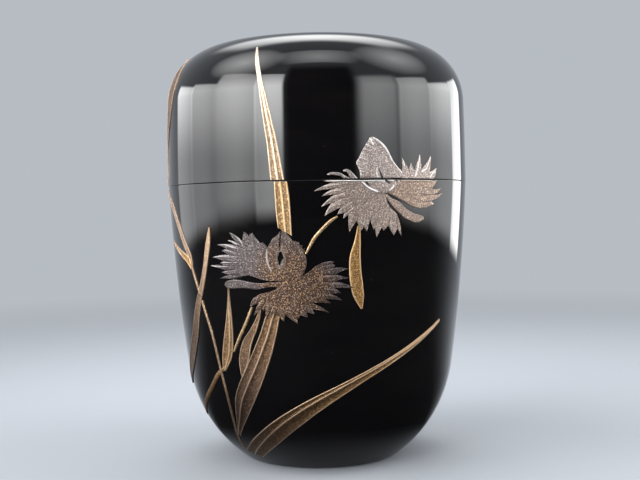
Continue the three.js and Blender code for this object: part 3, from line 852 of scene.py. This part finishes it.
def stroke_form(outside, points, widths, tone, lift):
    """A stroke along its middle, with its widths and tones spaced evenly along it."""
    points = in_shares(points)
    steps = max(6, math.ceil(run_length(outside, points) / along_flat))
    places = np.linspace(0, 1, steps + 1)
    middle = smooth(points, places)
    heading = np.gradient(middle * sheet_size(outside), axis=0)
    heading /= np.linalg.norm(heading, axis=1)[:, None]
    across = np.stack([-heading[:, 1], heading[:, 0]], axis=1)
    half = along_run(widths, places) / 2
    aside = across[:, None] * (half[:, None] * stem_section[:, 0])[..., None]
    ones = np.ones((len(places), len(stem_section)))
    return {
        "shares": middle[:, None] + aside / sheet_size(outside),
        "height": ones * (stem_section[:, 1] * stem_height + lift),
        "line": 0.25 * ones,
        "warm": ones * along_run(tone, places)[:, None],
        "bare": 0 * ones,
    }


def stem(node, points, width=stem_width, ends=(0.6, 0.6), tone=(1, 1), lift=0.0, finish=gold):
    widths = (width * ends[0], width, width, width, width, width * ends[1])
    form = stroke_form(body_outside, points, widths, tone, lift)
    decorate(node, form, body_outside, finish, "gold_line" if finish is gold else "bronze_powder")


stem("flower_stem", [(-48, 222), (-16, 177), (16, 148), (45, 126), (73, 111)])
stem("bud_stem", [(-278, 386), (-313, 437), (-349, 482), (-387, 530)], ends=(0.8, 0.8))
stem(
    "long_stem",
    [(-544, 905), (-516, 850), (-476, 768), (-465, 680), (-480, 598), (-508, 485), (-536, 421), (-556, 375)],
    tone=(0.0, 0.1, 0.2, 0.2, 0.2), ends=(0.7, 1.2),
)
stem("branch_stem", [(-566, 352), (-592, 302), (-613, 258)], tone=(0.1, 0.1), ends=(0.8, 0.9), lift=0.00002)
stem(
    "side_leaf",
    [(-452, 588), (-498, 610), (-568, 660), (-645, 704), (-735, 752), (-790, 785)],
    width=side_leaf_width, ends=(0.4, 0.4), tone=(0.5, 0.2), lift=-0.00002, finish=bronze,
)


# The egret orchids
# Grey silver powder on raised lacquer, mixed with gold toward the heart of each flower. Pale strokes
# follow the teeth and some edges. The pale line along the joint on the upper flower is a painted
# highlight. The upper flower and the lid flower, near the top of the caddy, take a paler copy of the
# silver powder, which is painted light. The eye and the fold of each hood are left as bare black lacquer.
petal_height = 0.00016
stroke_rise = 0.00005
bare_height = 0.00004
grid_flat = 0.00016
edge_line = 0.00016
bevel_width = 0.00018
stroke_softness = 0.00007
blunt_tip = -0.8
stroke_place = 0.24
stroke_spread = 0.13
groove_spread = 0.10
gap_spread = 0.06
gap_strength = 0.6

silver = powder(
    "silver_powder",
    {
        "Dark": (0.048, 0.038, 0.037), "Middle": (0.210, 0.176, 0.172), "Bright": (0.44, 0.39, 0.38),
        "Line": (0.56, 0.53, 0.53), "Warm Middle": (0.115, 0.060, 0.036), "Warm Bright": (0.58, 0.36, 0.175),
        "Warm Line": (0.36, 0.30, 0.26),
    },
    grain=0.000085, roughness=0.45, flakes=0.08, warm_flakes=0.10,
)
# Painted light: a paler copy of the silver powder for the upper flower and the lid flower, which lie near the top
# where more light falls.
painted_lit_silver = powder(
    "painted_lit_silver_powder",
    {
        "Dark": (0.21, 0.170, 0.155), "Middle": (0.57, 0.480, 0.445), "Bright": (0.92, 0.84, 0.80),
        "Line": (0.95, 0.92, 0.90), "Warm Middle": (0.27, 0.172, 0.112), "Warm Bright": (0.66, 0.43, 0.24),
        "Warm Line": (0.70, 0.60, 0.51),
    },
    grain=0.000085, roughness=0.45, flakes=0.14, warm_flakes=0.04,
)


def fringe(size, points, in_tooth, slender, bend, blunt):
    """The toothed edge of a petal. Its points are a notch, a tip, a notch, and so on, ending in a notch."""
    points = points * size
    run = [points[0]]
    rising = np.arange(1, in_tooth + 1)[:, None] / in_tooth
    for index in range(0, len(points) - 2, 2):
        notch, tip, following = points[index], points[index + 1], points[index + 2]
        reach = tip - (notch + following) / 2
        axis = (notch + following) / 2 + reach / 2
        towards_axis = blunt_tip if index + 1 in blunt else slender
        for near, t in ((notch, rising), (following, 1 - rising)):
            pull = (near + tip) / 2 * (1 - towards_axis) + axis * towards_axis
            pull = pull + bend * np.array([-reach[1], reach[0]])
            run += list((1 - t) ** 2 * near + 2 * t * (1 - t) * pull + t**2 * tip)
    return np.array(run) / size


def stroke_mask(spots, path, widths):
    """How strongly a drawn stroke covers each spot. It may widen or narrow along its path."""
    nearest = np.full(spots.shape[:-1], 1.0)
    half = np.zeros(spots.shape[:-1])
    for index, (start, end) in enumerate(zip(path, path[1:])):
        run = end - start
        share = np.clip(((spots - start) @ run) / (run @ run), 0, 1)
        away = np.linalg.norm(spots - start - share[..., None] * run, axis=-1)
        width = widths[0] + (widths[1] - widths[0]) * (index + share) / (len(path) - 1)
        closer = away - width / 2 < nearest - half
        nearest = np.where(closer, away, nearest)
        half = np.where(closer, width / 2, half)
    return np.clip((half + stroke_softness - nearest) / (2 * stroke_softness), 0, 1)


def petal_grid(size, base, far, start, end):
    """Shares over a petal in steps round its edge and outward, with how far round and outward each lies."""
    round_places = np.linspace(0, 1, len(far))
    base = smooth(base, round_places)
    reach = np.linalg.norm((far - base) * size, axis=1).max()
    outward_places = np.linspace(0, 1, max(6, math.ceil(reach / grid_flat)) + 1)
    around, outward = round_places[:, None, None], outward_places[None, :, None]
    shares = base[:, None] * (1 - outward) + far[:, None] * outward
    for side, weight, index in ((start, 1 - around, 0), (end, around, -1)):
        if side is not None:
            straight = base[index] * (1 - outward) + far[index] * outward
            shares = shares + weight * (smooth(in_shares(side), outward_places)[None] - straight)
    ones = np.ones(shares.shape[:2])
    return shares, around[..., 0] * ones, outward[..., 0] * ones, reach


def tooth_masks(in_tooth, outward, stroke, cut):
    """The stroke along one side of each tooth, the groove between two teeth, and the bare lacquer at its end."""
    phase = (np.arange(len(outward)) % (2 * in_tooth)) / (2 * in_tooth)
    beside = np.exp(-(((phase - stroke_place) / stroke_spread) ** 2))[:, None]
    from_notch = np.minimum(phase, 1 - phase)[:, None]
    drawn = stroke * beside * np.clip((outward - 0.5) / 0.3, 0, 1)
    groove = cut * np.exp(-((from_notch / groove_spread) ** 2)) * np.clip((outward - 0.35) / 0.5, 0, 1)
    gap = np.exp(-((from_notch / gap_spread) ** 2)) * np.clip((outward - 0.66) / 0.25, 0, 1)
    return drawn, groove, gap_strength * cut * gap


def petal_form(outside, base, far, start=None, end=None, toothed=True, marks=(), heart=None, lift=0.0,
               base_edge=0.0, far_edge=0.5, side_edge=0.0, stroke=0.0, warm=None, slender=0.1, bend=0.0,
               blunt=(), cut=1.0, joined=False):
    """A petal between its base and its far edge, with its side edges straight or given. Marks are strokes
    over it, with their widths in millimetres, and heart is the middle and the two reaches of the gold."""
    size = sheet_size(outside)
    far = in_shares(far)
    far_length = run_length(outside, far)
    if toothed:
        in_tooth = max(4, round(far_length / ((len(far) - 1) // 2) / grid_flat / 3))
        far = fringe(size, far, in_tooth, slender, bend, blunt)
    else:
        far = smooth(far, np.linspace(0, 1, max(6, math.ceil(far_length / grid_flat)) + 1))
    shares, around, outward, reach = petal_grid(size, in_shares(base), far, start, end)
    spots = shares * size
    from_base, from_far = outward * reach, (1 - outward) * reach
    from_sides = np.minimum(around, 1 - around) * run_length(outside, far) * (0.3 + 0.7 * outward)
    line, bare, groove = (np.zeros(outward.shape) for mask in range(3))
    for distance, strength in ((from_base, base_edge), (from_far, far_edge), (from_sides, side_edge)):
        line = np.maximum(line, strength * np.clip(1.6 - distance / edge_line, 0, 1))
    if toothed:
        drawn, groove, bare = tooth_masks(in_tooth, outward, stroke, cut)
        line = np.maximum(line, drawn)
    for kind, strength, widths, path in marks:
        mask = strength * stroke_mask(spots, in_shares(path) * size, np.array(widths) / 1000)
        if kind == "line":
            line = np.maximum(line, mask)
        else:
            bare = np.maximum(bare, mask)
    edges = [from_far, from_sides] + ([] if joined else [from_base])
    bevel = np.clip(np.minimum.reduce(edges) / bevel_width, 0, 1)
    height = edge_height + (petal_height + stroke_rise * (line - groove) - edge_height) * np.sqrt(bevel) + lift
    height = height * (1 - bare) + bare_height * bare
    if warm is None:
        middle, inner, outer = heart
        away = np.linalg.norm(spots - in_shares(middle) * size, axis=-1)
        warm = np.clip((outer - away) / (outer - inner), 0, 1)
    warm = warm * (1 - np.clip(line - 0.9, 0, 0.8))
    return {"shares": shares, "height": height, "line": line, "warm": warm, "bare": bare}


def orchid_part(node, outside, base, far, finish=silver, **form):
    decorate(node, petal_form(outside, base, far, **form), outside, finish, "silver_powder")


lower_heart = ((-130, 300), 0.0040, 0.0095)
lower_eye = [(-145.5, 219), (-145.5, 234), (-149.5, 252)]
orchid_part(
    "lower_orchid_hood", body_outside,
    [(-140, 148), (-157, 164), (-173, 173), (-186, 188), (-197, 201), (-204, 215), (-206, 232), (-204, 246),
     (-199, 259), (-190, 273), (-160, 306)],
    [(-138, 147), (-125, 155.5), (-113, 164.5), (-103, 173.5), (-95, 186), (-85, 182), (-81, 194), (-73, 184),
     (-70, 201), (-60, 194), (-63, 209), (-52, 205), (-54, 221), (-48, 231), (-46, 242), (-46, 254), (-50, 267),
     (-57, 280), (-66, 290), (-70, 297), (-74, 304)],
    heart=lower_heart, lift=0.00006, base_edge=0.35, far_edge=0.45, slender=0.3, cut=0.0,
    marks=[
        ("line", 1.8, (0.24, 0.4), [(-200.5, 207), (-201.5, 220), (-201, 234)]),
        ("line", 1.8, (0.4, 0.24), [(-201, 234), (-199, 247), (-193.5, 260), (-185, 272)]),
        ("line", 0.45, (1.9, 1.9), lower_eye),
        ("bare", 1.0, (0.6, 1.18), lower_eye[:2]),
        ("bare", 1.0, (1.18, 0.5), lower_eye[1:]),
        ("bare", 0.9, (0.2, 0.26), [(-138.5, 147), (-143, 166), (-147, 192), (-147, 209)]),
    ],
)
orchid_part(
    "lower_orchid_left_wing", body_outside,
    [(-190, 212), (-188, 236), (-180, 258), (-166, 280), (-148, 304)],
    [(-198, 204), (-217, 185), (-233, 195), (-258, 156), (-274, 170), (-294, 153), (-302, 182), (-361, 154),
     (-332, 184), (-370, 178), (-337, 193), (-426, 192), (-377, 206), (-405, 211), (-372, 223), (-458, 232),
     (-394, 244), (-418, 250), (-397, 258), (-475, 259), (-384, 274), (-414, 279), (-372, 288), (-426, 298),
     (-360, 299)],
    end=[(-148, 304), (-211, 302), (-231, 294), (-262, 285), (-299, 289), (-329, 295), (-360, 299)],
    heart=((-130, 270), 0.0036, 0.0066), stroke=0.6, slender=-0.1, bend=0.06, blunt=(1, 3, 5, 7), joined=True,
    marks=[
        ("line", 1.1, (0.26, 0.2), [(-357, 154), (-332, 163), (-313, 177), (-300, 195)]),
        ("line", 1.1, (0.26, 0.18), [(-366, 178), (-348, 182), (-330, 190)]),
        ("line", 1.1, (0.26, 0.18), [(-420, 191), (-385, 192), (-338, 202)]),
        ("line", 0.9, (0.22, 0.14), [(-452, 231), (-410, 229), (-368, 226)]),
        ("line", 0.8, (0.2, 0.12), [(-414, 249), (-380, 248)]),
        ("line", 0.9, (0.24, 0.14), [(-470, 259), (-430, 262), (-390, 260)]),
        ("line", 0.6, (0.14, 0.14), [(-410, 278), (-355, 274), (-320, 268)]),
    ],
)
orchid_part(
    "lower_orchid_finger", body_outside,
    [(-120, 304), (-166, 308), (-197, 307), (-218, 310), (-246, 311), (-273, 309), (-301, 305), (-329, 302),
     (-360, 301), (-392, 307), (-403, 314)],
    [(-120, 330), (-167, 324), (-193, 323), (-225, 327), (-253, 331), (-303, 328), (-332, 328), (-370, 330),
     (-392, 327), (-403, 321)],
    toothed=False, heart=((-130, 310), 0.0040, 0.0065), base_edge=0.45, far_edge=0.4, lift=-0.00001,
)
orchid_part(
    "lower_orchid_skirt", body_outside,
    [(-155, 325), (-140, 298), (-115, 288), (-90, 290), (-58, 306)],
    [(-266, 355), (-286, 383), (-246, 369), (-271, 411), (-234, 389), (-228, 398), (-219, 384), (-218, 424),
     (-202, 403), (-197, 421), (-188, 402), (-181, 413), (-176, 402), (-143, 430), (-144, 403), (-88, 437),
     (-93, 412), (-82, 420), (-78, 409), (-48, 417), (-50, 400), (-20, 407), (-38, 390)],
    start=[(-155, 325), (-176, 331), (-197, 337), (-223, 341), (-243, 346), (-266, 355)],
    heart=((-150, 340), 0.0045, 0.0085), far_edge=0.45, side_edge=0.25, stroke=0.4, slender=0.0, bend=0.05,
    blunt=(1,), joined=True, lift=0.00004,
)
orchid_part(
    "lower_orchid_right_wing", body_outside,
    [(-82, 296), (-105, 312), (-105, 332), (-80, 352), (-45, 385)],
    [(43, 245), (60, 248), (48, 254), (63, 257), (56, 266), (116, 269), (60, 287), (114, 298), (62, 307),
     (144, 330), (57, 327), (85, 343), (44, 345), (89, 365), (20, 361), (43, 373), (-32, 371), (38, 402),
     (-38, 391)],
    start=[(-82, 296), (-64, 289), (-49, 282), (-29, 271), (-10, 259), (10, 251), (29, 247), (43, 245)],
    heart=((-90, 340), 0.0050, 0.0095), far_edge=0.4, side_edge=0.3, stroke=0.45, slender=0.0, bend=-0.07,
    joined=True, lift=0.00001,
)
orchid_part(
    "upper_orchid_hood", body_outside,
    [(158, 3), (215, 3), (270, 3), (322, 3)],
    [(160, 5), (172, 17), (190, 30), (212, 39), (240, 45), (268, 42), (295, 30), (322, 6)],
    finish=painted_lit_silver, toothed=False, warm=0.2, lift=0.00006, far_edge=0.0, joined=True,
    marks=[
        ("line", 1.8, (0.26, 0.4), [(166, 9), (184, 23), (203, 32), (224, 38)]),
        ("line", 1.2, (0.4, 0.22), [(278, 34), (290, 27), (296, 19)]),
        # Painted highlight: a pale line along the joint, where the rim of the body catches the light.
        ("line", 1.8, (0.22, 0.22), [(160, 4.5), (293, 4.5)]),
        ("bare", 0.8, (0.4, 0.2), [(184, 12), (194, 20)]),
        ("bare", 0.8, (0.45, 0.25), [(262, 5), (278, 14)]),
        ("bare", 0.7, (0.3, 0.12), [(307, 3), (307, 14)]),
    ],
)
orchid_part(
    "upper_orchid_left_wing", body_outside,
    [(172, 3), (180, 10), (195, 24), (212, 33), (232, 40)],
    [(90, 3), (18, 3.2), (52, 10), (-13, 34), (56, 28), (15, 50), (63, 45), (12, 81), (55, 67), (25, 108),
     (88, 81), (74, 104), (100, 101), (95, 117), (116, 106)],
    finish=painted_lit_silver, warm=0.5, stroke=0.5, slender=-0.1, bend=0.08, joined=True,
    marks=[
        # Painted highlight: a pale line along the joint, where the rim of the body catches the light.
        ("line", 1.8, (0.14, 0.22), [(30, 4.5), (170, 4.5)]),
        ("line", 0.9, (0.2, 0.14), [(-8, 31), (25, 18), (75, 15)]),
        ("line", 0.9, (0.2, 0.14), [(20, 45), (56, 33), (85, 33)]),
        ("line", 0.7, (0.18, 0.14), [(18, 77), (50, 54), (90, 46)]),
    ],
)
orchid_part(
    "upper_orchid_skirt", body_outside,
    [(175, 16), (205, 28), (235, 34), (255, 40), (264, 59)],
    [(115, 106), (118, 158), (146, 125), (166, 154), (174, 141), (186, 158), (199, 120), (214, 152), (220, 145),
     (227, 176), (248, 145), (256, 157), (275, 141), (300, 172), (317, 150), (334, 174), (330, 144)],
    end=[(264, 59), (274, 79), (293, 94), (310, 106), (322, 124), (330, 144)],
    finish=painted_lit_silver, warm=0.5, far_edge=0.45, stroke=0.45, slender=-0.1, bend=0.05, joined=True,
    marks=[
        ("line", 0.7, (0.16, 0.2), [(200, 118), (200, 98)]),
        ("line", 0.6, (0.14, 0.18), [(172, 138), (176, 112)]),
        ("line", 0.6, (0.14, 0.14), [(268, 68), (290, 90), (312, 108)]),
    ],
)
orchid_part(
    "upper_orchid_finger", body_outside,
    [(268, 44), (277, 52), (293, 60), (317, 67), (332, 75), (350, 88), (371, 98), (394, 106), (420, 110),
     (446, 117)],
    [(256, 48), (266, 58), (280, 72), (295, 87), (313, 100), (333, 112), (351, 122), (376, 130), (401, 135),
     (428, 133), (446, 124)],
    finish=painted_lit_silver, toothed=False, warm=0.75, base_edge=0.35, far_edge=0.3,
)
orchid_part(
    "upper_orchid_right_wing", body_outside,
    [(315, 3), (290, 14), (270, 30), (268, 40)],
    [(478, 3), (521, 3.5), (487, 29), (549, 27), (496, 48), (562, 41), (489, 67), (506, 77), (476, 80)],
    end=[(268, 40), (295, 51), (326, 62), (341, 68), (359, 76), (377, 83), (402, 88), (429, 89), (453, 86),
         (476, 80)],
    finish=painted_lit_silver, warm=0.9, far_edge=0.3, stroke=0.2, slender=-0.1, bend=0.10, joined=True,
    # Painted highlight: a pale line along the joint, where the rim of the body catches the light.
    marks=[("line", 0.9, (0.18, 0.14), [(330, 4.5), (515, 4.5)])],
)
lid_hood_left = [(160, 3), (160, 21), (155, 35), (146, 54), (156, 70), (167, 90), (182, 113), (193, 128), (200, 138)]
hatch_lengths = (18, 30, 23, 36) * 3
hatching = [
    ("line", 0.75, (0.26, 0.1), [(q + 2, w), (q + length, w - 6)])
    for (q, w), length in zip(smooth(lid_hood_left, np.linspace(0.1, 0.93, 11)), hatch_lengths)
]
orchid_part(
    "lid_flower_hood", lid_outside,
    lid_hood_left,
    [(340, 3), (335, 23), (313, 42), (295, 61), (280, 85), (265, 107), (239, 128), (212, 141)],
    finish=painted_lit_silver, toothed=False, warm=0.15, lift=0.00003, base_edge=0.35, far_edge=0.6,
    marks=[
        ("line", 1.8, (0.4, 0.44), [(216, 137), (237, 126), (262, 105), (277, 84), (292, 61)]),
        ("line", 1.2, (0.36, 0.24), [(292, 61), (310, 42), (330, 22)]),
        ("line", 1.4, (0.3, 0.2), [(198, 136), (204, 126), (212, 114)]),
        ("line", 1.0, (0.2, 0.26), [(226, 38), (223, 20), (228, 8)]),
        ("bare", 0.85, (0.18, 0.5), [(234, 34), (240, 20), (247, 4)]),
        *hatching,
    ],
)
orchid_part(
    "lid_flower_wing", lid_outside,
    [(330, 3), (390, 3), (440, 3), (496, 3)],
    [(334, 22), (333, 72), (366, 31), (376, 56), (391, 26), (421, 85), (428, 31), (483, 82), (474, 24),
     (516, 40), (504, 5)],
    finish=painted_lit_silver, warm=0.25, far_edge=0.6, stroke=0.5, slender=0.0, bend=-0.05, joined=True,
    marks=[
        ("line", 1.2, (0.18, 0.26), [(420, 80), (410, 40), (394, 10)]),
        ("line", 1.1, (0.18, 0.28), [(479, 76), (455, 36), (430, 26)]),
        ("line", 1.0, (0.16, 0.24), [(511, 37), (475, 8)]),
        ("line", 1.0, (0.2, 0.24), [(336, 66), (344, 44)]),
    ],
)
orchid_part(
    "lid_long_tooth", lid_outside,
    [(36, 18), (50, 23.5), (68, 24), (87, 21), (100, 14), (120, 3)],
    [(38, 14.5), (56, 15.5), (75, 13.5), (88, 10), (98, 3)],
    finish=painted_lit_silver, toothed=False, warm=0, base_edge=1.2, far_edge=0.4,
)
orchid_part(
    "lid_short_tooth", lid_outside,
    [(95, 30), (109, 34), (122, 29), (135, 18), (150, 3)],
    [(97, 27), (109, 24), (118, 14), (124, 3)],
    finish=painted_lit_silver, toothed=False, warm=0, base_edge=0.9, far_edge=0.3,
)
